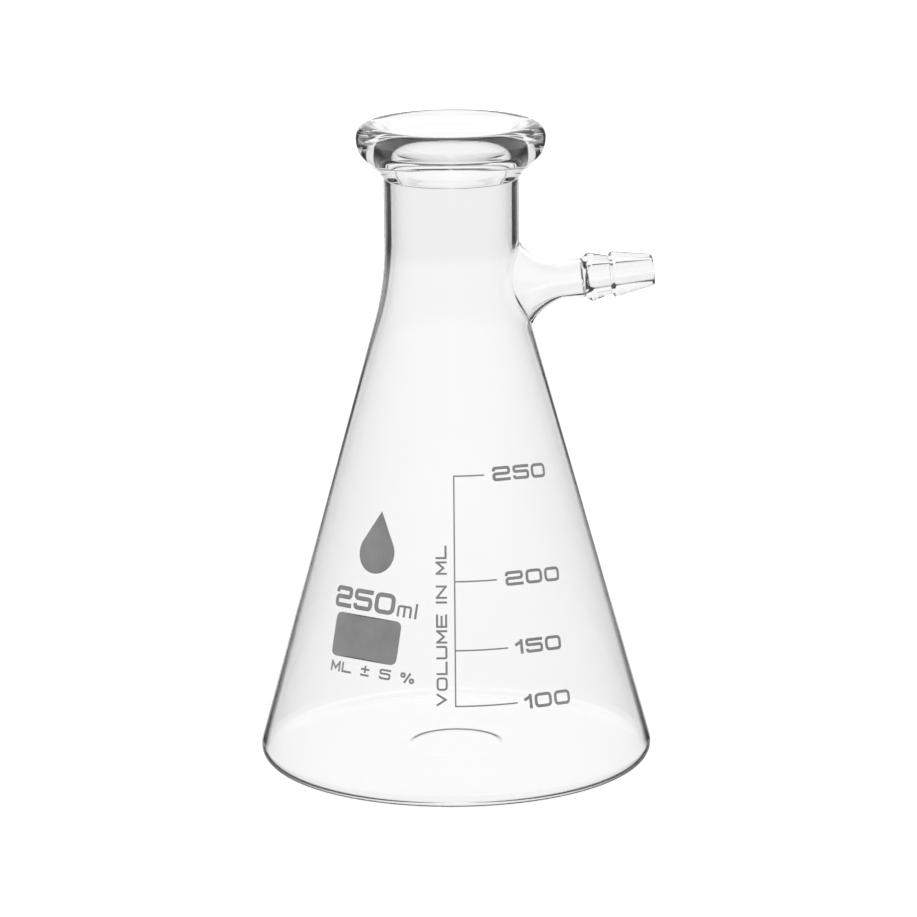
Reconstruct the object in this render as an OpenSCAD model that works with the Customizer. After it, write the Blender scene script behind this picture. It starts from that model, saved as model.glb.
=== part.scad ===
// Filtering flask: a blown conical vessel with a heavy rim, a side hose connection and a fired print.
// +Z is up, the base stands on z = 0, the vessel is round about the Z axis and the hose
// connection points along +X. All sizes are in millimetres and all angles in degrees.

/* [Vessel] */
// Widest diameter, just above the base
base_diameter = 88; // [85:1:91]
// Height from the base to the top of the rim
total_height = 144.1; // [143.6:0.1:146]
// Outside diameter of the neck
neck_diameter = 30; // [29:0.5:31]
// Height at which the straight side of the cone would meet the neck
cone_height = 108.3; // [107:0.1:109.5]
// Radius of the long curve from the cone into the neck
shoulder_radius = 65; // [50:1:80]
// Radius of the turn from the base into the cone
heel_radius = 3; // [2.5:0.1:3.3]
// Radius of the same turn on the inside
inner_heel_radius = 2.1; // [1.8:0.1:2.6]
// Thickness of the neck wall
neck_wall = 1.6; // [1.2:0.1:1.8]
// Thickness of the cone wall at its top
cone_wall = 1.25; // [1.1:0.05:1.5]
// Thickness of the cone wall at its foot
foot_wall = 0.8; // [0.75:0.05:1.2]
// How much thinner the blown cone wall is half way up than an even taper would be
mid_thinning = 0.5; // [0:0.1:0.5]
// Thickness of the base
base_thickness = 0.9; // [0.8:0.1:1.5]
// Rise of the kick-up in the middle of the base
kick_up = 1.5; // [0.5:0.1:2]
// Diameter of the kick-up, inside the ring that the flask stands on
kick_up_diameter = 60; // [40:1:70]

/* [Rim] */
// Widest diameter of the rim
rim_diameter = 42; // [41:0.5:43]
// Height of the rim above the crease where it meets the neck
rim_height = 11.8; // [11:0.1:12.5]
// Slope of the rim's underside above the horizontal
underside_slope = 45; // [42:1:48]
// Radius of the belly between the underside and the side of the rim
belly_radius = 6; // [5:0.5:6.5]
// Radius that rounds the rim's outer top edge
rim_top_radius = 3; // [2.8:0.1:3.2]
// Radius that rounds the top of the rim toward the mouth
lip_radius = 3; // [2:0.1:3]
// Radius of the flare from the top of the rim into the throat
mouth_radius = 5; // [4.7:0.1:5.3]
// Bore of the throat, the narrowest place of the neck
throat_diameter = 26.2; // [25.6:0.2:26.6]
// Depth at which the straight throat ends, from the top of the rim
throat_depth = 9.1; // [8:0.1:10]
// Height over which the throat widens to the bore of the neck
throat_taper = 3.5; // [2:0.5:5]

/* [Hose connection] */
// Height at which the axis of the connection crosses the axis of the vessel
arm_height = 106; // [104:0.5:108]
// Upward tilt of the connection
arm_tilt = 5.5; // [0:0.5:10]
// Outside diameter of the plain tube
arm_diameter = 8.9; // [8:0.1:10]
// Wall of the plain tube and of the flare at its root
arm_wall = 0.95; // [0.8:0.05:1.2]
// Outside diameter of the flared root that is sealed to the vessel
root_diameter = 15; // [13:0.5:17]
// Radius of the flare
flare_radius = 8; // [6:0.5:9]
// Distance from the vessel's axis at which the flare ends
flare_end = 23.5; // [23:0.5:25]
// Distance from the vessel's axis at which the barb starts
barb_start = 29.3; // [28:0.1:30]
// Length of the barb, to the tip
barb_length = 15.7; // [14:0.1:18]
// Diameter of the first ridge of the barb
first_ridge = 10.8; // [10.2:0.1:11.5]
// Diameter of the second ridge
second_ridge = 10.2; // [9.6:0.1:10.8]
// Diameter at the foot of the second ridge
waist_diameter = 8.6; // [8:0.1:9]
// Diameter of the barb where its tip starts to round over
tip_diameter = 7.3; // [7:0.1:7.8]
// Bore of the barb
barb_bore = 4.7; // [4.2:0.1:5]

/* [Print] */
// Thickness of the fired enamel film
film = 0.1; // [0.05:0.01:0.2]
// Turn of the whole print about the vessel's axis, from facing -Y
print_turn = -4; // [-180:1:180]
// Volumes marked on the scale
mark_volumes = ["250", "200", "150", "100"];
// Heights of those marks
mark_heights = [70.5, 48.3, 33.8, 22.1];
// Lengths of their ticks
tick_lengths = [6.7, 9.4, 11.8, 13.8];
// Width of the scale's lines
line_width = 0.32; // [0.2:0.02:0.5]
// Height of the numerals
numeral_cap = 3.2; // [2.6:0.1:3.6]
// Height of the capacity mark
capacity_cap = 4.7; // [4:0.1:4.8]
// Width of the marking spot
spot_width = 17.4; // [12:0.1:20]
// Height of the marking spot
spot_height = 9.7; // [8:0.1:11]

/* [Hidden] */
$fn = 96;
arc_step = 5;        // largest turn between two points of an arc
cone_steps = 8;      // straight pieces of the thinned inner cone wall
cut_margin = 5;      // how far cutting shapes pass the glass
least_side = 0.1;    // least upright length of the rim's side, between belly and top
glass_colour = [0.86, 0.92, 0.93, 0.35];
enamel_colour = [0.53, 0.53, 0.54];

base_r = base_diameter / 2;
neck_r = neck_diameter / 2;
neck_bore_r = neck_r - neck_wall;
rim_r = rim_diameter / 2;
throat_r = throat_diameter / 2;
arm_r = arm_diameter / 2;
arm_bore_r = arm_r - arm_wall;
root_bore_r = root_diameter / 2 - arm_wall;

// ---------- curves and the vessel's outline ----------

function lerp(a, b, t) = a + (b - a) * t;
function reverse(list) = [for (i = [len(list) - 1:-1:0]) list[i]];
function polar(angle) = [cos(angle), sin(angle)];
function arc(centre, radius, from, to) =
    let (n = ceil(abs(to - from) / arc_step))
    [for (i = [0:n]) centre + radius * polar(lerp(from, to, i / n))];

// Heel, cone side and shoulder, from the foot up; bulge moves the middle of the side outward.
function vessel_side(heel_centre, heel, top_r, top_z, bend_r, bulge) =
    let (
        foot = arc(heel_centre, heel, -90, cone_slope),
        bend_centre = [top_r + bend_r, top_z + bend_r * tan(cone_slope / 2)],
        shoulder = arc(bend_centre, bend_r, 180 + cone_slope, 180),
        start = foot[len(foot) - 1],
        side = bulge == 0 ? [] :
            [for (i = [1:cone_steps - 1])
                let (t = i / cone_steps)
                lerp(start, shoulder[0], t) + 4 * bulge * t * (1 - t) * polar(cone_slope)]
    )
    concat(foot, side, shoulder);

// The cone's slope from the vertical: its side is tangent to the heel and aims at the neck.
heel_centre = [base_r - heel_radius, heel_radius];
aim = heel_centre - [neck_r, cone_height];
cone_slope = atan(-aim[0] / aim[1]) + asin(heel_radius / norm(aim));

// The inner side is a wall away from the outer one and turns into the floor.
inner_cone_height = cone_height + (neck_wall - cone_wall / cos(cone_slope)) / tan(cone_slope);
inner_heel_z = base_thickness + inner_heel_radius;
inner_heel_r = neck_bore_r + (inner_cone_height - inner_heel_z) * tan(cone_slope)
    + (cone_wall - foot_wall - inner_heel_radius) / cos(cone_slope);
outer_side = vessel_side(heel_centre, heel_radius, neck_r, cone_height, shoulder_radius, 0);
inner_side = vessel_side([inner_heel_r, inner_heel_z], inner_heel_radius, neck_bore_r,
                         inner_cone_height, shoulder_radius + neck_wall, mid_thinning);

// The kick-up is a shallow dome; the floor inside follows it.
function dome(floor_z) =
    [for (i = [0:cone_steps])
        let (t = i / cone_steps)
        [t * kick_up_diameter / 2, floor_z + kick_up * (1 - t * t)]];

// The rim's outside, from the crease on the neck to its top.
function rim_outside() =
    let (
        crease_z = total_height - rim_height,
        belly_reach = rim_r - belly_radius + belly_radius * sin(underside_slope) - neck_r,
        belly_rise = belly_reach * tan(underside_slope) + belly_radius * cos(underside_slope),
        belly_z = min(crease_z + belly_rise, total_height - rim_top_radius - least_side)
    )
    concat([[neck_r, crease_z]],
           arc([rim_r - belly_radius, belly_z], belly_radius, underside_slope - 90, 0),
           arc([rim_r - rim_top_radius, total_height - rim_top_radius], rim_top_radius, 0, 90));

// The rounded lip, the flare, the straight throat and its taper into the neck, from the top down.
function mouth_inside() =
    let (
        lip_centre = [rim_r - rim_top_radius, total_height - lip_radius],
        spread = mouth_radius - lip_radius,
        turn = acos((lip_centre[0] - throat_r - mouth_radius) / spread),
        flare_centre = [throat_r + mouth_radius, lip_centre[1] - spread * sin(turn)],
        throat_end = total_height - throat_depth
    )
    concat(arc(lip_centre, lip_radius, 90, turn),
           arc(flare_centre, mouth_radius, turn, 180),
           [[throat_r, throat_end], [neck_bore_r, throat_end - throat_taper]]);

outside_points = concat(dome(0), outer_side, rim_outside());
inside_points = concat(dome(base_thickness), inner_side, reverse(mouth_inside()));

// ---------- the hose connection's outline, as [radius, distance from the vessel's axis] ----------

function flare(radius, end_r) =
    let (turn = acos((flare_radius + arm_r - end_r) / radius))
    arc([flare_radius + arm_r, flare_end], radius, 180 + turn, 180);

function barb_outside() =
    let (
        ridge_land = 0.6,
        first_rise = 1.3,
        second_rise = 0.7,
        waist_at = barb_start + 0.375 * barb_length,
        tip_at = barb_start + barb_length,
        tip_round = (tip_diameter - barb_bore) / 4
    )
    concat([[arm_r, barb_start],
            [first_ridge / 2, barb_start + first_rise],
            [first_ridge / 2, barb_start + first_rise + ridge_land],
            [waist_diameter / 2, waist_at],
            [second_ridge / 2, waist_at + second_rise],
            [second_ridge / 2, waist_at + second_rise + ridge_land]],
           arc([barb_bore / 2 + tip_round, tip_at - tip_round], tip_round, 0, 180));

bore_step = 1.6;     // length of the cone that narrows the bore at the start of the barb
arm_outside = concat([[root_diameter / 2, 0]], flare(flare_radius, root_diameter / 2), barb_outside());
arm_inside = concat([[root_bore_r, 0]], flare(flare_radius + arm_wall, root_bore_r),
                    [[arm_bore_r, barb_start], [barb_bore / 2, barb_start + bore_step]]);

module along_arm() {
    translate([0, 0, arm_height]) rotate([0, 90 - arm_tilt, 0]) children();
}

// ---------- glass ----------

module vessel_form() {
    rotate_extrude() polygon(concat(outside_points, [[0, total_height]]));
}

module flask_body() {
    color(glass_colour)
        difference() {
            rotate_extrude() polygon(concat(outside_points, reverse(inside_points)));
            along_arm() cylinder(h = neck_r + cut_margin, r = root_bore_r);
        }
}

module side_arm() {
    color(glass_colour)
        difference() {
            along_arm() rotate_extrude() polygon(concat(arm_outside, reverse(arm_inside)));
            vessel_form();
        }
}

// ---------- the print: flat films, rolled onto the cone ----------

function cone_r(z) = neck_r + (cone_height - z) * tan(cone_slope);
cone_tip_z = cone_height + neck_r / tan(cone_slope);

// Puts a flat shape on the cone. The point (x, y) of the unrolled print, counted from the place
// at this azimuth and height, goes where it lands when the print is rolled up.
module rolled(azimuth, height, x, y) {
    slant = cone_r(height) / sin(cone_slope) - y;
    swing = atan(x / slant);
    reach = norm([x, slant]);
    z = cone_tip_z - reach * cos(cone_slope);
    rotate([0, 0, print_turn + azimuth + swing / sin(cone_slope)])
        translate([0, -cone_r(z), z])
            rotate([90 - cone_slope, 0, 0])
                rotate([0, 0, -swing])
                    children();
}

// Keeps of its children, blocks that cross the cone's surface, only a film on that surface.
module enamel(low, high) {
    proud = film / cos(cone_slope);
    color(enamel_colour)
        intersection() {
            rotate_extrude()
                polygon([[cone_r(low), low], [cone_r(low) + proud, low],
                         [cone_r(high) + proud, high], [cone_r(high), high]]);
            union() children();
        }
}

module block(depth) {
    linear_extrude(height = 2 * depth, center = true) children();
}

// ---------- lettering: pen strokes on a cell one unit high ----------

function unit(v) = v / norm(v);
function left_of(v) = [-v[1], v[0]];
function mitre(before, after) = (before + after) / (1 + before * after);

// A path beside the given one; an open path has square ends and a closed one has none.
function beside(path, shift, closed) =
    let (n = len(path))
    [for (i = [0:n - 1])
        let (
            into = closed || i > 0 ? path[i] - path[(i + n - 1) % n] : path[1] - path[0],
            out = closed || i < n - 1 ? path[(i + 1) % n] - path[i] : into
        )
        path[i] + shift * mitre(left_of(unit(into)), left_of(unit(out)))];

// Rounds each corner of a path with a short curve; an open path keeps its ends.
function rounded(path, radius, closed) =
    let (n = len(path), bends = 3)
    [for (i = [0:n - 1])
        each (!closed && (i == 0 || i == n - 1)) ? [path[i]] :
            let (
                from = path[i] + radius * unit(path[(i + n - 1) % n] - path[i]),
                to = path[i] + radius * unit(path[(i + 1) % n] - path[i])
            )
            [for (k = [0:bends]) let (t = k / bends) lerp(lerp(from, path[i], t), lerp(path[i], to, t), t)]];

module stroke(path, pen, radius) {
    soft = radius == 0 ? path : rounded(path, radius, false);
    polygon(concat(beside(soft, pen / 2, false), reverse(beside(soft, -pen / 2, false))));
}

module ring(low, high, pen, radius) {
    corners = [low, [high[0], low[1]], high, [low[0], high[1]]];
    difference() {
        polygon(beside(rounded(corners, radius, true), -pen / 2, true));
        polygon(beside(rounded(corners, radius, true), pen / 2, true));
    }
}

function letter_width(c, wide) =
    c == " " ? 0.45 * wide :
    c == "1" ? 0.5 * wide :
    c == "I" ? 0.2 * wide :
    c == "l" ? 0.12 * wide :
    c == "%" ? 1.2 * wide :
    wide;

module letter(c, wide, pen) {
    w = letter_width(c, wide);
    l = pen / 2;
    r = w - pen / 2;
    b = pen / 2;
    t = 1 - pen / 2;
    bend = 0.15;
    if (c == "0" || c == "O") ring([l, b], [r, t], pen, 1.7 * bend);
    if (c == "1") {
        stroke([[r, 0], [r, 1]], pen, 0);
        stroke([[l, 0.62], [r, t - 0.06]], pen, 0);
    }
    if (c == "2") stroke([[l, 0.68], [l, t], [r, t], [r, 0.5], [l, 0.5], [l, b], [w, b]], pen, bend);
    if (c == "5") stroke([[w, t], [l, t], [l, 0.55], [r, 0.55], [r, b], [l, b], [l, 0.3]], pen, bend);
    if (c == "E") {
        stroke([[w, t], [l, t], [l, b], [w, b]], pen, 0);
        stroke([[l, 0.5], [0.9 * w, 0.5]], pen, 0);
    }
    if (c == "I" || c == "l") stroke([[w / 2, 0], [w / 2, 1]], pen, 0);
    if (c == "L") stroke([[l, 1], [l, b], [w, b]], pen, 0);
    if (c == "M") {
        stroke([[l, 0], [l, 1]], pen, 0);
        stroke([[r, 0], [r, 1]], pen, 0);
        stroke([[l, t], [w / 2, 0.3], [r, t]], pen, 0);
    }
    if (c == "N") {
        stroke([[l, 0], [l, 1]], pen, 0);
        stroke([[r, 0], [r, 1]], pen, 0);
        stroke([[l, t], [r, b]], pen, 0);
    }
    if (c == "U") stroke([[l, 1], [l, b], [r, b], [r, 1]], pen, bend);
    if (c == "V") stroke([[l, 1], [w / 2, pen], [r, 1]], pen, 0);
    if (c == "m") {
        stroke([[l, 0], [l, 0.7], [r, 0.7], [r, 0]], pen, bend);
        stroke([[w / 2, 0], [w / 2, 0.7]], pen, 0);
    }
    if (c == "+") {
        stroke([[w / 2, 0.3], [w / 2, 1]], pen, 0);
        stroke([[0.1 * w, 0.65], [0.9 * w, 0.65]], pen, 0);
        stroke([[0.1 * w, b], [0.9 * w, b]], pen, 0);
    }
    if (c == "%") {
        ring([l, 0.56], [0.3 * w, t], pen, bend);
        ring([0.7 * w, b], [r, 0.44], pen, bend);
        stroke([[0.32 * w, 0], [0.68 * w, 1]], pen, 0);
    }
}

function letter_starts(words, wide, gap, i = 0, at = 0) =
    i == len(words) ? [] :
    concat([at], letter_starts(words, wide, gap, i + 1, at + letter_width(words[i], wide) + gap));

// Blocks for a line of words that starts at (x, y) of the unrolled print, with turn 90 upward.
module words_on(azimuth, height, x, y, turn, words, cap, wide, gap, pen) {
    depth = 1;
    starts = letter_starts(words, wide, gap);
    for (i = [0:len(words) - 1]) {
        middle = [starts[i] + letter_width(words[i], wide) / 2, 0.5] * cap;
        along = polar(turn);
        place = [x, y] + middle[0] * along + middle[1] * left_of(along);
        rolled(azimuth, height, place[0], place[1])
            rotate([0, 0, turn])
                block(depth)
                    translate(-middle + [starts[i] * cap, 0])
                        scale(cap)
                            letter(words[i], wide, pen);
    }
}

module tick(height, length) {
    rotate([0, 0, print_turn - 90])
        rotate_extrude(angle = length / cone_r(height) * 180 / PI)
            translate([cone_r(height) - 1, height - line_width / 2])
                square([2, line_width]);
}

module volume_scale() {
    low = mark_heights[len(mark_heights) - 1];
    high = mark_heights[0];
    end_overlap = 0.35 * line_width;
    enamel(low - 2, high + 2) {
        rolled(0, (low + high) / 2, 0, 0)
            block(1)
                square([line_width, (high - low) / cos(cone_slope) + 2 * end_overlap], center = true);
        for (i = [0:len(mark_heights) - 1])
            tick(mark_heights[i], tick_lengths[i]);
    }
}

module scale_numerals() {
    tick_gap = 1.9;
    enamel(mark_heights[3] - numeral_cap, mark_heights[0] + numeral_cap)
        for (i = [0:len(mark_heights) - 1]) {
            start = tick_lengths[i] + (mark_volumes[i][0] == "1" ? 0.7 : 1) * tick_gap;
            words_on(start / cone_r(mark_heights[i]) * 180 / PI, mark_heights[i],
                     0, -numeral_cap / 2, 0, mark_volumes[i], numeral_cap, 1.34, 0.2, 0.21);
        }
}

module scale_caption() {
    enamel(mark_heights[3] - 2, mark_heights[1] + 10)
        words_on(0, mark_heights[3], -1.7, 0, 90, "VOLUME IN ML", 2.45, 1.2, 0.2, 0.19);
}

// The marks left of the scale share one centre line.
label_azimuth = -34.5;
spot_z = 35;

module capacity_mark() {
    digits_start = -9.9;
    unit_start = 7.2;
    enamel(spot_z + 4, spot_z + 12) {
        words_on(label_azimuth, spot_z, digits_start, 5.9, 0, "250", capacity_cap, 1.08, 0.13, 0.21);
        words_on(label_azimuth, spot_z, unit_start, 5.9, 0, "ml", 0.72 * capacity_cap, 1, 0.22, 0.15);
    }
}

module marking_spot() {
    corner = 1.6;
    inner = [spot_width, spot_height] / 2 - [corner, corner];
    enamel(spot_z - spot_height, spot_z + spot_height)
        rolled(label_azimuth, spot_z, 0, 0)
            block(1.8) {
                square(2 * inner + [2 * corner, 0], center = true);
                square(2 * inner + [0, 2 * corner], center = true);
                for (x = [-1, 1], y = [-1, 1])
                    translate([x * inner[0], y * inner[1]])
                        circle(r = corner);
            }
}

module tolerance_mark() {
    enamel(spot_z - 9, spot_z - 4)
        words_on(label_azimuth, spot_z, -8.2, -8.2, 0, "ML + 5 %", 2.3, 1.2, 0.22, 0.2);
}

module drop_emblem() {
    drop_r = 4.6;
    drop_height = 13.8;
    lean = asin(drop_r / (drop_height - drop_r));
    enamel(spot_z + 12, spot_z + 30)
        rolled(label_azimuth, spot_z + 13.8, 0, drop_r)
            block(1.3)
                polygon(concat([[0, drop_height - drop_r]], arc([0, 0], drop_r, 180 - lean, 360 + lean)));
}

flask_body();
side_arm();
volume_scale();
scale_numerals();
scale_caption();
capacity_mark();
marking_spot();
tolerance_mark();
drop_emblem();
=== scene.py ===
import math

import bmesh
import bpy
import numpy as np
from mathutils import Matrix, Vector
from mathutils.geometry import delaunay_2d_cdt


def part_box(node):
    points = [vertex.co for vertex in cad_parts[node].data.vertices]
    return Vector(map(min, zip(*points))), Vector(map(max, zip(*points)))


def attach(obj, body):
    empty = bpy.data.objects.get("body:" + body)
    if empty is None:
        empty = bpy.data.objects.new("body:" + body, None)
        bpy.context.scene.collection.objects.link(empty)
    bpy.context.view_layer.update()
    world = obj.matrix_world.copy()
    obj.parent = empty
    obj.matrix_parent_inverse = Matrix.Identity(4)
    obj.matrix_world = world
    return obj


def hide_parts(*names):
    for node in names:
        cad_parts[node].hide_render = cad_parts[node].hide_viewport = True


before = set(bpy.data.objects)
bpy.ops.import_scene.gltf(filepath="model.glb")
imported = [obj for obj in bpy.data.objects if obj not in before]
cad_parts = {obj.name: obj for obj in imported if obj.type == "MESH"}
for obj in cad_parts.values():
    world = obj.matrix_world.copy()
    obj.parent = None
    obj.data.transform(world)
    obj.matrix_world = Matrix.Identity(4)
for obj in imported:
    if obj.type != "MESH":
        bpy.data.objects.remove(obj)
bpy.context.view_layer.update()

MM = 0.001

# ---------- driving sizes, in millimetres and degrees ----------

body_high = np.array(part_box("flask_body")[1]) / MM
base_r = round(body_high[0])
total_height = body_high[2]

neck_r = 15.0
neck_wall = 1.6
neck_bore_r = neck_r - neck_wall
cone_height = 108.3
cone_wall = 1.25
foot_wall = 0.8
mid_thinning = 0.5
shoulder_radius = 65.0
heel_radius = 3.0
inner_heel_radius = 2.1
base_thickness = 0.9
kick_up = 1.5
kick_up_r = 30.0
mould_mark_low, mould_mark_high, mould_mark_rise = 9.5, 11.0, 0.08

rim_r = 21.0
crease_z = 132.3
underside_slope = 45.0
belly_radius = 6.0
rim_top_radius = 3.0
lip_radius = 3.0
mouth_radius = 5.0
throat_bore_r = 13.1
throat_bead_r = 12.6
throat_bead_z = 138.4
throat_bead_width = 0.55
throat_end_z = 135.0
throat_taper = 3.5
crease_radius = 0.5

arm_height = 106.0
arm_tilt = 5.5
arm_r = 4.45
arm_bore_r = 3.5
seal_r = 10.0
seal_lift = 0.45
seal_end = 24.0
seal_pull = 0.35
barb_start = 29.3
barb_length = 15.7
first_ridge_r = 5.4
first_rise = 1.3
second_ridge_r = 5.1
second_rise = 0.7
ridge_flat = 0.6
waist_r = 4.3
waist_place = 0.375
tip_r = 3.65
barb_bore_r = 2.5
tip_bore_r = 2.2
bore_step = 1.6

print_turn = -4.0
scale_marks = (("250", 70.5, 6.7), ("200", 48.3, 9.4), ("150", 33.8, 11.8), ("100", 22.1, 13.8))
line_width = 0.32
film_low, film_high = 0.015, 0.06
label_azimuth = -34.5
spot_z = 35.0
spot_half_width, spot_half_height, spot_corner = 8.7, 4.85, 1.6
drop_r, drop_height, drop_rise = 4.6, 13.8, 13.8
numeral_cap, numeral_gap, narrow_gap = 3.2, 1.9, 0.7
caption_cap, caption_x = 2.45, -1.7
capacity_cap, capacity_y, digits_start, unit_start, unit_size = 4.7, 5.9, -9.9, 7.2, 0.72
tolerance_cap, tolerance_x, tolerance_y = 2.3, -8.2, -8.2

# ---------- outlines as arrays of (radius, height) ----------


def arc(centre, radius, start, end, steps):
    """Points on an arc, with its angles in degrees from the direction outward."""
    angles = np.radians(np.linspace(start, end, steps + 1))
    return np.array(centre) + radius * np.stack([np.cos(angles), np.sin(angles)], 1)


def line(start, end, steps):
    return np.linspace(start, end, steps + 1)


def joined(*parts):
    """One outline from parts that each start where the one before ends."""
    return np.concatenate([parts[0]] + [part[1:] for part in parts[1:]])


heel_centre = np.array([base_r - heel_radius, heel_radius])
aim = heel_centre - [neck_r, cone_height]
cone_slope = math.degrees(math.atan(-aim[0] / aim[1]) + math.asin(heel_radius / math.hypot(*aim)))
SIN, COS, TAN = (f(math.radians(cone_slope)) for f in (math.sin, math.cos, math.tan))

inner_cone_height = cone_height + (neck_wall - cone_wall / COS) / TAN
inner_heel_z = base_thickness + inner_heel_radius
inner_heel_r = (neck_bore_r + (inner_cone_height - inner_heel_z) * TAN
                + (cone_wall - foot_wall - inner_heel_radius) / COS)


def side_radius(z, top_r, top_z, bend_r, foot_z, foot_gain, bulge):
    """The wall's radius at a height: cone, long shoulder, then straight neck."""
    z = np.asarray(z, float)
    bend_z = top_z + bend_r * math.tan(math.radians(cone_slope / 2))
    start_z = bend_z - bend_r * SIN
    t = np.clip((z - foot_z) / (start_z - foot_z), 0, 1)
    cone = top_r + (top_z - z) * TAN + (foot_gain + 4 * bulge * t) * (1 - t) / COS
    depth = np.clip(bend_z - z, 0, bend_r * SIN)
    shoulder = top_r + bend_r - np.sqrt(bend_r**2 - depth**2)
    return np.where(z < start_z, cone, shoulder)


def outer_radius(z):
    return side_radius(z, neck_r, cone_height, shoulder_radius, heel_radius, 0, 0)


def inner_radius(z):
    return side_radius(z, neck_bore_r, inner_cone_height, shoulder_radius + neck_wall,
                       inner_heel_z, cone_wall - foot_wall, mid_thinning)


window_low, window_high, window_rows = 92.0, 123.0, 34


def wall(radius_at, foot_z, top_z):
    """The wall from its foot to its top; the rows of the window for the hose connection are even."""
    z = joined(line(foot_z, window_low, 24), line(window_low, window_high, window_rows),
               line(window_high, top_z, 8))
    return np.stack([radius_at(z), z], 1)


def floor_outline(height, mark_rise):
    """The kick-up, from the middle outward, with a low round step where the mould's plug was."""
    r = joined(line(0, mould_mark_low, 4), line(mould_mark_low, mould_mark_high, 8),
               line(mould_mark_high, kick_up_r, 6))
    t = np.clip((mould_mark_high - r) / (mould_mark_high - mould_mark_low), 0, 1)
    mark = mark_rise * t * t * (3 - 2 * t)
    return np.stack([r, height + kick_up * (1 - (r / kick_up_r)**2) + mark], 1)


def outer_outline():
    """From the middle of the underside round the heel and up the outside to the top of the rim."""
    belly_reach = rim_r - belly_radius + belly_radius * math.sin(math.radians(underside_slope)) - neck_r
    belly_z = (crease_z + belly_reach * math.tan(math.radians(underside_slope))
               + belly_radius * math.cos(math.radians(underside_slope)))
    turn = crease_radius * math.tan(math.radians((90 - underside_slope) / 2))
    crease = arc((neck_r + crease_radius, crease_z - turn), crease_radius, 180, 90 + underside_slope, 6)
    belly = arc((rim_r - belly_radius, belly_z), belly_radius, underside_slope - 90, 0, 14)
    top = arc((rim_r - rim_top_radius, total_height - rim_top_radius), rim_top_radius, 0, 90, 22)
    heel = arc(heel_centre, heel_radius, -90, cone_slope, 16)
    bottom = floor_outline(0, mould_mark_rise)
    return joined(bottom, line(bottom[-1], heel[0], 2), heel,
                  wall(outer_radius, heel[-1][1], crease[0][1]),
                  crease, line(crease[-1], belly[0], 2), belly, line(belly[-1], top[0], 2), top)


def inner_outline():
    """From the top of the rim down the mouth, the neck and the cone to the middle of the floor."""
    crown_r = rim_r - rim_top_radius
    spread = mouth_radius - lip_radius
    turn = math.degrees(math.acos((crown_r - throat_bore_r - mouth_radius) / spread))
    bore_z = total_height - lip_radius - spread * math.sin(math.radians(turn))
    lip = arc((crown_r, total_height - lip_radius), lip_radius, 90, turn, 6)
    flare = arc((throat_bore_r + mouth_radius, bore_z), mouth_radius, turn, 180, 18)
    z = line(bore_z, throat_end_z, 30)
    bead = (throat_bore_r - throat_bead_r) * np.exp(-((z - throat_bead_z) / throat_bead_width * 2)**2)
    throat = np.stack([throat_bore_r - bead, z], 1)
    throat[0, 0] = throat_bore_r
    t = np.linspace(0, 1, 11)
    taper = throat[-1] + np.stack([(neck_bore_r - throat[-1, 0]) * (1 - np.cos(np.pi * t)) / 2,
                                   -throat_taper * t], 1)
    heel = arc((inner_heel_r, inner_heel_z), inner_heel_radius, cone_slope, -90, 14)
    side = wall(inner_radius, heel[0][1], taper[-1][1])[::-1]
    inside_floor = floor_outline(base_thickness, 0)[::-1]
    return joined(lip, flare, throat, taper, side, heel,
                  line(heel[-1], inside_floor[0], 2), inside_floor)


# ---------- the glass: one seamless skin, vessel and hose connection together ----------

columns = 240
window_columns = 44
tilt = math.radians(arm_tilt)
arm_origin = np.array([0, 0, arm_height])
arm_along = np.array([math.cos(tilt), 0, math.sin(tilt)])
arm_up = np.array([-math.sin(tilt), 0, math.cos(tilt)])
arm_side = np.array([0, 1.0, 0])


class Skin:
    """Collects points and faces of a mesh."""

    def __init__(self):
        self.points, self.faces, self.count = [], [], 0

    def add(self, points):
        points = np.asarray(points, float).reshape(-1, 3)
        self.points.append(points)
        self.count += len(points)
        return np.arange(self.count - len(points), self.count)

    def quads(self, a, b):
        """Faces between two rows of point numbers, around a closed loop."""
        for i in range(len(a)):
            j = (i + 1) % len(a)
            self.faces.append((a[i], a[j], b[j], b[i]))

    def build(self, name):
        mesh = bpy.data.meshes.new(name)
        mesh.from_pydata((np.concatenate(self.points) * MM).tolist(), [], self.faces)
        mesh.validate()
        form = bmesh.new()
        form.from_mesh(mesh)
        bmesh.ops.recalc_face_normals(form, faces=form.faces)
        form.to_mesh(mesh)
        form.free()
        mesh.shade_smooth()
        piece = bpy.data.objects.new(name, mesh)
        bpy.context.scene.collection.objects.link(piece)
        return piece


def on_vessel(radius_at, azimuth, z):
    r = radius_at(z)
    return np.stack([r * np.cos(azimuth), r * np.sin(azimuth), z], -1)


def at_arm(along, radius, angle):
    """Points beside the hose connection's axis; the angle is zero on top."""
    ray = np.cos(angle)[..., None] * arm_up + np.sin(angle)[..., None] * arm_side
    return arm_origin + along[..., None] * arm_along + radius[..., None] * ray


def reach_vessel(radius_at, radius, angle):
    """How far along the hose connection's axis its line at this radius meets the vessel."""
    low, high = np.zeros_like(angle), np.full_like(angle, 40.0)
    for _ in range(40):
        middle = (low + high) / 2
        p = at_arm(middle, radius, angle)
        inside = np.hypot(p[..., 0], p[..., 1]) < radius_at(p[..., 2])
        low, high = np.where(inside, middle, low), np.where(inside, high, middle)
    return low


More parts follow.
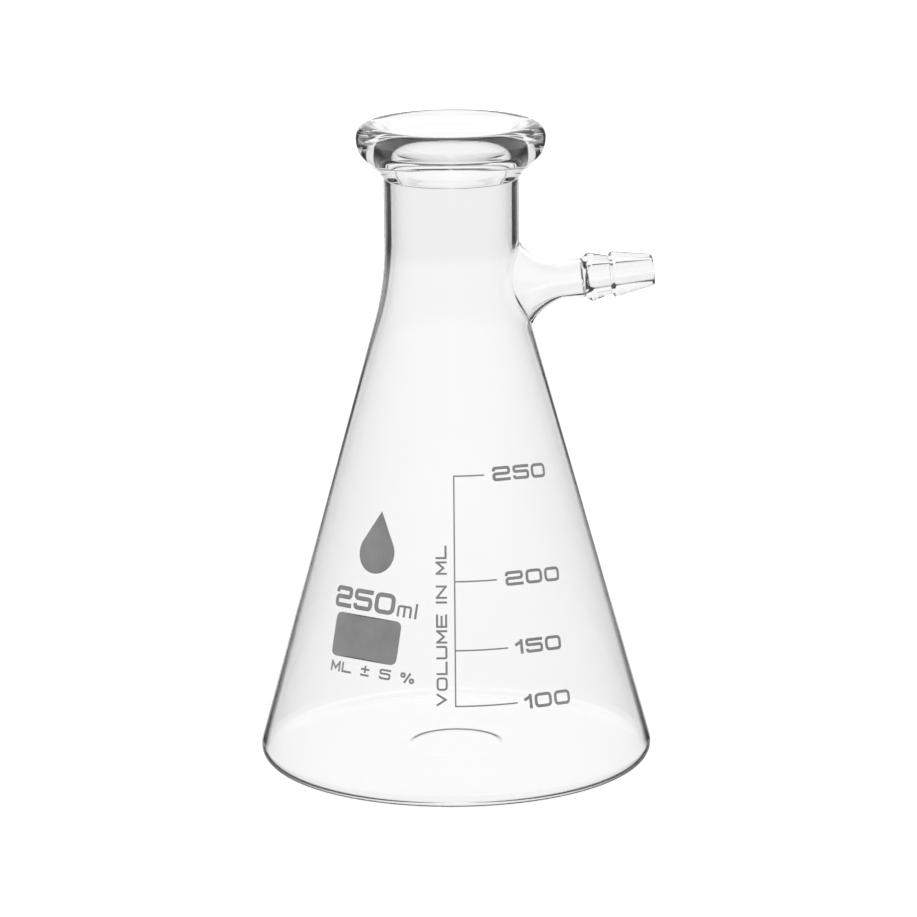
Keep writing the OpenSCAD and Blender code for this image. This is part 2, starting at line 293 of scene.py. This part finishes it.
def seal(radius_at, tube_r, angle, steps):
    """Rows of points that sweep from the vessel's wall into the tube."""
    start_r = seal_r + seal_lift * np.cos(angle)
    start = reach_vessel(radius_at, start_r, angle)
    step = 0.01
    slope = (start - reach_vessel(radius_at, start_r - step, angle)) / step
    corner = start - slope * (start_r - tube_r)
    ends_r = [start_r, start_r + seal_pull * (tube_r - start_r), np.full_like(angle, tube_r),
              np.full_like(angle, tube_r)]
    ends_s = [start, start + seal_pull * (corner - start),
              seal_end + seal_pull * (corner - seal_end), np.full_like(angle, seal_end)]
    rows = []
    for t in np.linspace(0, 1, steps + 1):
        weights = [(1 - t)**3, 3 * t * (1 - t)**2, 3 * t * t * (1 - t), t**3]
        along = sum(w * s for w, s in zip(weights, ends_s))
        radius = sum(w * r for w, r in zip(weights, ends_r))
        rows.append(at_arm(along, radius, angle))
    return rows


def softened(corners, radii, steps=5):
    """A polyline whose inner corners are rounded to the given radii."""
    out = [np.array([corners[0]])]
    for before, at, after, radius in zip(corners, corners[1:], corners[2:], radii):
        into = np.array(before) - at
        on = np.array(after) - at
        into, on = into / np.linalg.norm(into), on / np.linalg.norm(on)
        half = math.acos(np.clip(into @ on, -1, 1)) / 2
        reach = radius / math.tan(half)
        t = np.linspace(0, 1, steps + 1)[:, None]
        a, b = np.array(at) + reach * into, np.array(at) + reach * on
        out.append((1 - t)**2 * a + 2 * t * (1 - t) * np.array(at) + t**2 * b)
    out.append(np.array([corners[-1]]))
    return np.concatenate(out)


def barb_outline():
    """The hose connection past the seal, outside to the tip and back through the bore: (s, radius)."""
    waist = barb_start + waist_place * barb_length
    first, second = barb_start + first_rise, waist + second_rise
    tip = barb_start + barb_length
    tip_round = (tip_r - tip_bore_r) / 2
    outside = softened(
        [(seal_end, arm_r), (barb_start, arm_r), (first, first_ridge_r),
         (first + ridge_flat, first_ridge_r), (waist, waist_r), (second, second_ridge_r),
         (second + ridge_flat, second_ridge_r), (tip - tip_round, tip_r)],
        [0.8, 0.5, 0.3, 0.5, 0.3, 0.3])
    end = arc((tip - tip_round, (tip_r + tip_bore_r) / 2), tip_round, 90, -90, 12)
    inside = softened(
        [(tip - tip_round, tip_bore_r), (barb_start + bore_step, barb_bore_r),
         (barb_start, arm_bore_r), (seal_end, arm_bore_r)], [1.0, 1.0])
    return joined(outside, end, inside)


def window_loop():
    """(column, row) of the window's edge, from its top middle round toward +Y."""
    w, n = window_columns, window_rows
    top = [(c, n) for c in range(0, w)]
    right = [(w, r) for r in range(n, 0, -1)]
    bottom = [(c, 0) for c in range(w, -w, -1)]
    left = [(-w, r) for r in range(0, n)]
    return top + right + bottom + left + [(c, n) for c in range(-w, 0)]


def revolve(skin, outline):
    """A ring of points for each point of the outline; one on the axis is a single point, repeated."""
    azimuth = np.arange(columns) * 2 * np.pi / columns
    rows = []
    for r, z in outline:
        if r < 1e-9:
            rows.append(np.repeat(skin.add([(0, 0, z)]), columns))
        else:
            rows.append(skin.add(np.stack([r * np.cos(azimuth), r * np.sin(azimuth),
                                           np.full(columns, z)], 1)))
    return rows


def skin_rows(skin, rows, open_rows):
    """Faces between the rows, except inside the window."""
    for k in range(len(rows) - 1):
        a, b = rows[k], rows[k + 1]
        for i in range(columns):
            j = (i + 1) % columns
            if k in open_rows and (i < window_columns or i >= columns - window_columns):
                continue
            skin.faces.append(tuple(dict.fromkeys([a[i], a[j], b[j], b[i]])))


def first_window_row(outline, rising):
    """The row at the window's low edge (its high edge when the outline runs down)."""
    edge = window_low if rising else window_high
    return int(np.flatnonzero(np.isclose(outline[:, 1], edge))[0])


def patch(skin, loop_ids, radius_at, tube_r, loop, seal_steps, patch_steps=8):
    """Bridges the window's edge to the tube and returns the tube's first ring."""
    azimuth = np.array([c for c, _ in loop]) * 2 * np.pi / columns
    z = window_low + np.array([r for _, r in loop]) * (window_high - window_low) / window_rows
    middle = (window_low + window_high) / 2
    angle = np.arctan2(azimuth * neck_r, z - middle)
    rows = seal(radius_at, tube_r, angle, seal_steps)
    ring = rows[0]
    ring_azimuth, ring_z = np.arctan2(ring[:, 1], ring[:, 0]), ring[:, 2]
    last = loop_ids
    for t in np.linspace(0, 1, patch_steps + 1)[1:-1]:
        row = on_vessel(radius_at, azimuth + t * (ring_azimuth - azimuth), z + t * (ring_z - z))
        ids = skin.add(row)
        skin.quads(last, ids)
        last = ids
    for row in rows:
        ids = skin.add(row)
        skin.quads(last, ids)
        last = ids
    return last, angle


def flask_glass():
    """Vessel and hose connection as one closed skin, joined at windows left in both walls."""
    skin = Skin()
    outer, inner = outer_outline(), inner_outline()
    whole = joined(outer, inner)
    rows = revolve(skin, whole)
    low = first_window_row(whole, True)
    inner_high = len(outer) - 1 + first_window_row(inner, False)
    skin_rows(skin, rows, set(range(low, low + window_rows))
              | set(range(inner_high, inner_high + window_rows)))
    loop = window_loop()
    outer_loop = [rows[low + r][c % columns] for c, r in loop]
    inner_loop = [rows[inner_high + window_rows - r][c % columns] for c, r in loop]
    outer_last, angle = patch(skin, outer_loop, outer_radius, arm_r, loop, 14)
    inner_last, _ = patch(skin, inner_loop, inner_radius, arm_bore_r, loop, 14)
    last = outer_last
    for s, r in barb_outline()[1:-1]:
        ids = skin.add(at_arm(np.full_like(angle, s), np.full_like(angle, r), angle))
        skin.quads(last, ids)
        last = ids
    skin.quads(last, inner_last)
    return skin.build("flask_glass")


# ---------- the print: pen-stroke figures, unrolled flat and laid on the cone ----------


def cone_r(z):
    return neck_r + (cone_height - z) * TAN


def left_of(directions):
    return np.stack([-directions[:, 1], directions[:, 0]], 1)


def beside(path, shift, closed):
    """The path moved sideways by the shift, with its corners kept sharp."""
    path = np.asarray(path, float)
    step = np.roll(path, -1, 0) - path
    if not closed:
        step[-1] = step[-2]
    out = step / np.linalg.norm(step, axis=1)[:, None]
    into = np.roll(out, 1, 0)
    if not closed:
        into[0] = out[0]
    a, b = left_of(into), left_of(out)
    return path + shift * (a + b) / (1 + (a * b).sum(1))[:, None]


def rounded(path, radius, closed, bends=5):
    path = np.asarray(path, float)
    out = []
    for i, at in enumerate(path):
        if not closed and i in (0, len(path) - 1):
            out.append(at)
            continue
        before, after = path[i - 1] - at, path[(i + 1) % len(path)] - at
        a = at + radius * before / np.linalg.norm(before)
        b = at + radius * after / np.linalg.norm(after)
        out += [(1 - t)**2 * a + 2 * t * (1 - t) * at + t * t * b for t in np.linspace(0, 1, bends + 1)]
    return np.array(out)


def stroke(path, pen, radius=0):
    """A pen stroke as [(polygon, solid)]."""
    soft = rounded(path, radius, False) if radius else np.asarray(path, float)
    return [(np.concatenate([beside(soft, pen / 2, False), beside(soft, -pen / 2, False)[::-1]]), True)]


def ring(low, high, pen, radius):
    """A closed stroke: its outer edge is solid and its inner edge a hole."""
    corners = rounded([low, (high[0], low[1]), high, (low[0], high[1])], radius, True)
    return [(beside(corners, -pen / 2, True), True), (beside(corners, pen / 2, True), False)]


def letter_width(c, wide):
    """The width of a letter's cell; most are as wide as the font, and narrow ones a share of it."""
    return {" ": 0.45, "1": 0.5, "I": 0.2, "l": 0.12, "%": 1.2}.get(c, 1) * wide


def letter(c, wide, pen):
    """A letter's polygons on a cell one unit high."""
    w = letter_width(c, wide)
    l, r, b, t, bend = pen / 2, w - pen / 2, pen / 2, 1 - pen / 2, 0.15
    if c in "0O":
        return ring((l, b), (r, t), pen, 1.7 * bend)
    if c == "%":
        return (ring((l, 0.56), (0.3 * w, t), pen, bend) + ring((0.7 * w, b), (r, 0.44), pen, bend)
                + stroke([(0.32 * w, 0), (0.68 * w, 1)], pen))
    strokes = {
        "1": [([(r, 0), (r, 1)], 0), ([(l, 0.62), (r, t - 0.06)], 0)],
        "2": [([(l, 0.68), (l, t), (r, t), (r, 0.5), (l, 0.5), (l, b), (w, b)], bend)],
        "5": [([(w, t), (l, t), (l, 0.55), (r, 0.55), (r, b), (l, b), (l, 0.3)], bend)],
        "E": [([(w, t), (l, t), (l, b), (w, b)], 0), ([(l, 0.5), (0.9 * w, 0.5)], 0)],
        "I": [([(w / 2, 0), (w / 2, 1)], 0)],
        "l": [([(w / 2, 0), (w / 2, 1)], 0)],
        "L": [([(l, 1), (l, b), (w, b)], 0)],
        "M": [([(l, 0), (l, 1)], 0), ([(r, 0), (r, 1)], 0), ([(l, t), (w / 2, 0.3), (r, t)], 0)],
        "N": [([(l, 0), (l, 1)], 0), ([(r, 0), (r, 1)], 0), ([(l, t), (r, b)], 0)],
        "U": [([(l, 1), (l, b), (r, b), (r, 1)], bend)],
        "V": [([(l, 1), (w / 2, pen), (r, 1)], 0)],
        "m": [([(l, 0), (l, 0.7), (r, 0.7), (r, 0)], bend), ([(w / 2, 0), (w / 2, 0.7)], 0)],
        "+": [([(w / 2, 0.3), (w / 2, 1)], 0), ([(0.1 * w, 0.65), (0.9 * w, 0.65)], 0),
              ([(0.1 * w, b), (0.9 * w, b)], 0)],
    }
    return [shape for path, radius in strokes.get(c, []) for shape in stroke(path, pen, radius)]


def words(text, x, y, cap, wide, gap, pen, turn=0):
    """A line of text as polygons of the unrolled print, starting at (x, y)."""
    c, s = math.cos(math.radians(turn)), math.sin(math.radians(turn))
    shapes, at = [], 0
    for char in text:
        for outline, solid in letter(char, wide, pen):
            flat = (outline + [at, 0]) * cap
            shapes.append((np.stack([x + c * flat[:, 0] - s * flat[:, 1],
                                     y + s * flat[:, 0] + c * flat[:, 1]], 1), solid))
        at += letter_width(char, wide) + gap
    return shapes


def filled(shapes, grid):
    """Triangles that fill the solid shapes less the holes, with extra points on a grid inside."""
    coords, faces, solid = [], [], []
    for outline, is_solid in shapes:
        following = np.roll(outline, -1, 0)
        turns_right = np.sum(outline[:, 0] * following[:, 1] - following[:, 0] * outline[:, 1]) < 0
        outline = outline[::-1] if turns_right else outline
        faces.append(list(range(len(coords), len(coords) + len(outline))))
        solid.append(is_solid)
        coords += [tuple(p) for p in outline]
    points = np.array(coords)
    low, high = points.min(0), points.max(0)
    for x in np.arange(low[0] + grid / 2, high[0], grid):
        for y in np.arange(low[1] + grid / 2, high[1], grid):
            if np.min(np.hypot(*(points - (x, y)).T)) > 0.3 * grid:
                coords.append((x, y))
    verts, _, tris, _, _, origins = delaunay_2d_cdt([Vector(c) for c in coords], [], faces, 0, 1e-5)
    kept = [t for t, origin in zip(tris, origins)
            if any(solid[f] for f in origin) and not any(not solid[f] for f in origin)]
    return np.array([tuple(v) for v in verts]), kept


def laid_on_cone(flat, azimuth, height, proud):
    """Where points of the unrolled print, counted from a place on the cone, land when rolled up."""
    slant = cone_r(height) / SIN - flat[:, 1]
    swing = np.arctan(flat[:, 0] / slant)
    reach = np.hypot(flat[:, 0], slant)
    turn = np.radians(print_turn + azimuth) + swing / SIN
    r = reach * SIN + proud * COS
    z = cone_height + neck_r / TAN - reach * COS + proud * SIN
    return np.stack([r * np.sin(turn), -r * np.cos(turn), z], 1)


def film_piece(name, node, patches, material, grid=0.7):
    """A thin closed film from patches of (azimuth, height, shapes), in place of a CAD node."""
    skin = Skin()
    for azimuth, height, shapes in patches:
        flat, tris = filled(shapes, grid)
        used = sorted({v for t in tris for v in t})
        number = {v: i for i, v in enumerate(used)}
        tris = [[number[v] for v in t] for t in tris]
        flat = flat[used]
        top = skin.add(laid_on_cone(flat, azimuth, height, film_high))
        under = skin.add(laid_on_cone(flat, azimuth, height, film_low))
        edges = {(t[k], t[(k + 1) % len(t)]) for t in tris for k in range(len(t))}
        skin.faces += [tuple(top[v] for v in t) for t in tris]
        skin.faces += [tuple(under[v] for v in reversed(t)) for t in tris]
        skin.faces += [(top[b], top[a], under[a], under[b]) for a, b in edges if (b, a) not in edges]
    piece = skin.build(name)
    piece.data.shade_flat()
    piece.data.materials.append(material)
    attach(piece, "root")
    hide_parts(node)
    return piece


def tick(height, length):
    """A tick follows its circle on the cone, so it is an arc of the unrolled print."""
    apex = cone_r(height) / SIN
    angle = np.linspace(0, length / cone_r(height) * SIN, 16)
    half = line_width / 2 / COS
    low, high = (np.stack([reach * np.sin(angle), apex - reach * np.cos(angle)], 1)
                 for reach in (apex + half, apex - half))
    return [(np.concatenate([low, high[::-1]]), True)]


def scale_film(material):
    high, low = scale_marks[0][1], scale_marks[-1][1]
    half = (high - low) / COS / 2 + line_width / 2
    w = line_width / 2
    bar = [(np.array([(-w, -half), (w, -half), (w, half), (-w, half)]), True)]
    patches = [(0, (low + high) / 2, bar)]
    patches += [(0, height, tick(height, length)) for _, height, length in scale_marks]
    return film_piece("enamel_scale", "volume_scale", patches, material)


def numeral_film(material):
    patches = []
    for text, height, length in scale_marks:
        start = length + (narrow_gap if text[0] == "1" else 1) * numeral_gap
        azimuth = math.degrees(start / cone_r(height))
        figures = words(text, 0, -numeral_cap / 2, numeral_cap, 1.34, 0.2, 0.21)
        patches.append((azimuth, height, figures))
    return film_piece("enamel_numerals", "scale_numerals", patches, material)


def caption_film(material):
    caption = words("VOLUME IN ML", caption_x, 0, caption_cap, 1.2, 0.2, 0.19, 90)
    return film_piece("enamel_caption", "scale_caption",
                      [(0, scale_marks[-1][1], caption)], material)


def label_film(name, node, shapes, material, rise=0):
    """A film of the label, placed from the middle of the marking spot."""
    return film_piece(name, node, [(label_azimuth, spot_z + rise, shapes)], material)


def label_films(material, spot_material):
    capacity = words("250", digits_start, capacity_y, capacity_cap, 1.08, 0.13, 0.21)
    capacity += words("ml", unit_start, capacity_y, unit_size * capacity_cap, 1, 0.22, 0.15)
    label_film("enamel_capacity", "capacity_mark", capacity, material)
    tolerance = words("ML + 5 %", tolerance_x, tolerance_y, tolerance_cap, 1.2, 0.22, 0.2)
    label_film("enamel_tolerance", "tolerance_mark", tolerance, material)
    x, y = spot_half_width, spot_half_height
    spot = rounded([(-x, -y), (x, -y), (x, y), (-x, y)], spot_corner, True)
    label_film("enamel_spot", "marking_spot", [(spot, True)], spot_material)
    lean = math.degrees(math.asin(drop_r / (drop_height - drop_r)))
    drop = np.concatenate([[(0, drop_height)],
                           arc((0, drop_r), drop_r, 180 - lean, 360 + lean, 40)])
    label_film("enamel_drop", "drop_emblem", [(drop, True)], material, drop_rise)


# ---------- materials ----------

borosilicate_ior = 1.473
print_grey, spot_grey = 0.21, 0.22
tone_spread = 0.25
grain_share, cloud_share = 0.4, 0.6


def shader(name):
    material = bpy.data.materials.new(name)
    material.use_nodes = True
    nodes = material.node_tree.nodes
    return material, nodes, material.node_tree.links, nodes["Principled BSDF"]


def glass_material():
    """Clear glass with a faint ripple, as blowing leaves it."""
    material, nodes, links, surface = shader("borosilicate_glass")
    surface.inputs["Base Color"].default_value = (0.992, 0.992, 0.992, 1)
    surface.inputs["Roughness"].default_value = 0
    surface.inputs["IOR"].default_value = borosilicate_ior
    surface.inputs["Transmission Weight"].default_value = 1
    place = nodes.new("ShaderNodeTexCoord")
    ripple = nodes.new("ShaderNodeTexNoise")
    ripple.inputs["Scale"].default_value = 60
    ripple.inputs["Detail"].default_value = 1
    bump = nodes.new("ShaderNodeBump")
    bump.inputs["Strength"].default_value = 0.1
    bump.inputs["Distance"].default_value = 0.0002
    links.new(place.outputs["Object"], ripple.inputs["Vector"])
    links.new(ripple.outputs["Fac"], bump.inputs["Height"])
    links.new(bump.outputs["Normal"], surface.inputs["Normal"])
    return material


def enamel_material(name, shade):
    """Fired enamel: fine grains and broad clouds in its tone, and grains in its gloss and relief."""
    material, nodes, links, surface = shader(name)
    place = nodes.new("ShaderNodeTexCoord")
    grain = nodes.new("ShaderNodeTexNoise")
    grain.inputs["Scale"].default_value = 4000
    grain.inputs["Detail"].default_value = 3
    cloud = nodes.new("ShaderNodeTexNoise")
    cloud.inputs["Scale"].default_value = 130
    cloud.inputs["Detail"].default_value = 4
    weighed_cloud = nodes.new("ShaderNodeMath")
    weighed_cloud.operation = "MULTIPLY"
    weighed_cloud.inputs[1].default_value = cloud_share
    speckle = nodes.new("ShaderNodeMath")
    speckle.operation = "MULTIPLY_ADD"
    speckle.inputs[1].default_value = grain_share
    tone = nodes.new("ShaderNodeMapRange")
    tone.inputs["From Min"].default_value = 0.3
    tone.inputs["From Max"].default_value = 0.7
    tone.inputs["To Min"].default_value = shade * (1 - tone_spread)
    tone.inputs["To Max"].default_value = shade * (1 + tone_spread)
    gloss = nodes.new("ShaderNodeMapRange")
    gloss.inputs["To Min"].default_value = 0.42
    gloss.inputs["To Max"].default_value = 0.62
    bump = nodes.new("ShaderNodeBump")
    bump.inputs["Strength"].default_value = 0.35
    bump.inputs["Distance"].default_value = 0.00002
    for noise in (grain, cloud):
        links.new(place.outputs["Object"], noise.inputs["Vector"])
    links.new(cloud.outputs["Fac"], weighed_cloud.inputs[0])
    links.new(grain.outputs["Fac"], speckle.inputs[0])
    links.new(weighed_cloud.outputs[0], speckle.inputs[2])
    links.new(speckle.outputs[0], tone.inputs["Value"])
    links.new(tone.outputs["Result"], surface.inputs["Base Color"])
    links.new(grain.outputs["Fac"], gloss.inputs["Value"])
    links.new(gloss.outputs["Result"], surface.inputs["Roughness"])
    links.new(grain.outputs["Fac"], bump.inputs["Height"])
    links.new(bump.outputs["Normal"], surface.inputs["Normal"])
    return material


# ---------- studio ----------


def camera():
    """The camera looks from 4 degrees to the left of the -Y side and 14 degrees above."""
    azimuth, pitch, roll = math.radians(-4), math.radians(13.69), math.radians(-0.51)
    distance, height, aside = 1.1114, 0.339, 0.00108
    data = bpy.data.cameras.new("camera")
    data.sensor_width, data.lens = 36, 201.2
    data.clip_start, data.clip_end = 0.01, 20
    eye = bpy.data.objects.new("camera", data)
    stand = Matrix.Rotation(azimuth, 4, "Z") @ Matrix.Translation((aside, -distance, height))
    eye.matrix_world = (stand @ Matrix.Rotation(math.pi / 2 - pitch, 4, "X")
                        @ Matrix.Rotation(roll, 4, "Z"))
    bpy.context.scene.collection.objects.link(eye)
    bpy.context.scene.camera = eye


def studio_world():
    """Three surroundings: plain white where the camera looks past the flask, an even glow for
    what only passes through glass, and dark cards with white panels for what reflects in it."""
    # strengths; a background's own grey is 0.8, so 1.25 makes the plain one pure white
    plain, through, card, sheen = 1.25, 1.27, 0.06, 1.7
    # where the back panel stands, and the spans over which each panel fades, in degrees
    back, back_width, sky, zenith = 86, (13, 19), (8, 20), (42, 56)
    side_sky, side_from = (-12, -7), (27, 35)
    world = bpy.data.worlds.new("studio")
    bpy.context.scene.world = world
    world.use_nodes = True
    nodes, links = world.node_tree.nodes, world.node_tree.links
    nodes.clear()

    def value(operation, *inputs):
        node = nodes.new("ShaderNodeMath")
        node.operation = operation
        for socket, given in zip(node.inputs, inputs):
            if isinstance(given, bpy.types.NodeSocket):
                links.new(given, socket)
            else:
                socket.default_value = given
        return node.outputs[0]

    def ramp(angle, span, low, high):
        """Goes smoothly from low to high while the angle crosses the span, given in degrees."""
        node = nodes.new("ShaderNodeMapRange")
        node.interpolation_type = "SMOOTHSTEP"
        links.new(angle, node.inputs["Value"])
        node.inputs["From Min"].default_value = math.radians(span[0])
        node.inputs["From Max"].default_value = math.radians(span[1])
        node.inputs["To Min"].default_value = low
        node.inputs["To Max"].default_value = high
        return node.outputs["Result"]

    def background(strength):
        node = nodes.new("ShaderNodeBackground")
        if isinstance(strength, bpy.types.NodeSocket):
            links.new(strength, node.inputs["Strength"])
        else:
            node.inputs["Strength"].default_value = strength
        return node.outputs[0]

    def choose(factor, low, high):
        node = nodes.new("ShaderNodeMixShader")
        links.new(factor, node.inputs["Fac"])
        links.new(low, node.inputs[1])
        links.new(high, node.inputs[2])
        return node.outputs[0]

    direction = nodes.new("ShaderNodeTexCoord")
    split = nodes.new("ShaderNodeSeparateXYZ")
    links.new(direction.outputs["Generated"], split.inputs[0])
    height = value("ARCSINE", split.outputs["Z"])
    azimuth = value("ARCTAN2", split.outputs["Y"], split.outputs["X"])
    off_back = value("SUBTRACT", azimuth, math.radians(back))
    aside = value("ABSOLUTE", value("WRAP", off_back, math.pi, -math.pi))
    path = nodes.new("ShaderNodeLightPath")
    reflected = value("GREATER_THAN", path.outputs["Glossy Depth"], 0.5)
    off_the_outside = value("LESS_THAN", path.outputs["Transmission Depth"], 0.5)

    ceiling = value("MULTIPLY", ramp(height, sky, card, through), ramp(height, zenith, 1, card))
    cards = value("MAXIMUM", ceiling, ramp(aside, back_width, through, card))
    sides = value("MULTIPLY", ramp(height, side_sky, 0, sheen), ramp(aside, side_from, 0, 1))
    cards = value("MAXIMUM", cards, value("MULTIPLY", sides, off_the_outside))
    around = choose(reflected, background(through), background(cards))
    out = nodes.new("ShaderNodeOutputWorld")
    seen = choose(path.outputs["Is Camera Ray"], around, background(plain))
    links.new(seen, out.inputs["Surface"])


def floor():
    """A pale floor that only the camera sees directly; glass shows the world in its place."""
    bpy.ops.mesh.primitive_plane_add(size=16)
    plane = bpy.context.object
    plane.name = "floor"
    material, nodes, links, surface = shader("floor")
    surface.inputs["Base Color"].default_value = (0.85, 0.85, 0.85, 1)
    surface.inputs["Roughness"].default_value = 0.7
    surface.inputs["Emission Color"].default_value = (1, 1, 1, 1)
    surface.inputs["Emission Strength"].default_value = 0.75
    plane.data.materials.append(material)
    plane.visible_transmission = False
    plane.visible_glossy = False
    plane.visible_diffuse = False


def render_settings():
    scene = bpy.context.scene
    scene.view_settings.view_transform = "Standard"
    scene.cycles.max_bounces = 32
    scene.cycles.transmission_bounces = 32
    scene.cycles.glossy_bounces = 16
    scene.cycles.caustics_reflective = True
    scene.cycles.caustics_refractive = True


camera()
studio_world()
floor()
render_settings()

glass = flask_glass()
glass.data.materials.append(glass_material())
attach(glass, "root")
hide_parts("flask_body", "side_arm")

grey = enamel_material("grey_enamel", print_grey)
spot_enamel = enamel_material("spot_enamel", spot_grey)
scale_film(grey)
numeral_film(grey)
caption_film(grey)
label_films(grey, spot_enamel)
